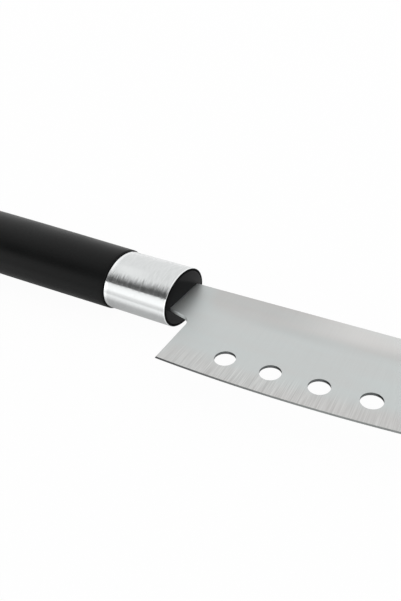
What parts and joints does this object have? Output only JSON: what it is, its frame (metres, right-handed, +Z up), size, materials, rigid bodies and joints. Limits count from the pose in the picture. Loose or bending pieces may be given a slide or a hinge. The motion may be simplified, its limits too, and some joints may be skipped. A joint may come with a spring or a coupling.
{
  "type": "santoku knife",
  "caption": "Santoku kitchen knife: taper-ground steel blade with a row of round food-release holes, brushed steel ferrule and black oval handle on a hidden tang.",
  "frame": {"origin": "on the surface that the knife lies on, under the middle of its bounding box", "axes": "+X from the butt to the tip, +Y from the cutting edge to the spine, +Z up, square to the blade's flat"},
  "size_m": [0.303, 0.0522, 0.0244],
  "materials": {
    "blade_steel": "satin ground, fine marks square to the edge",
    "plug_plastic": "moulded, semi-gloss",
    "ferrule_steel": "brushed around its axis",
    "grip_plastic": "fine matte, soft sheen",
    "core_plastic": "plain moulded",
    "adhesive": "cured resin"
  },
  "bodies": {
    "root": {"blade": "blade_steel", "front_plug": "plug_plastic", "ferrule": "ferrule_steel", "grip_sleeve": "grip_plastic", "handle_core": "core_plastic", "tang_adhesive": "adhesive"}
  },
  "joints": []
}
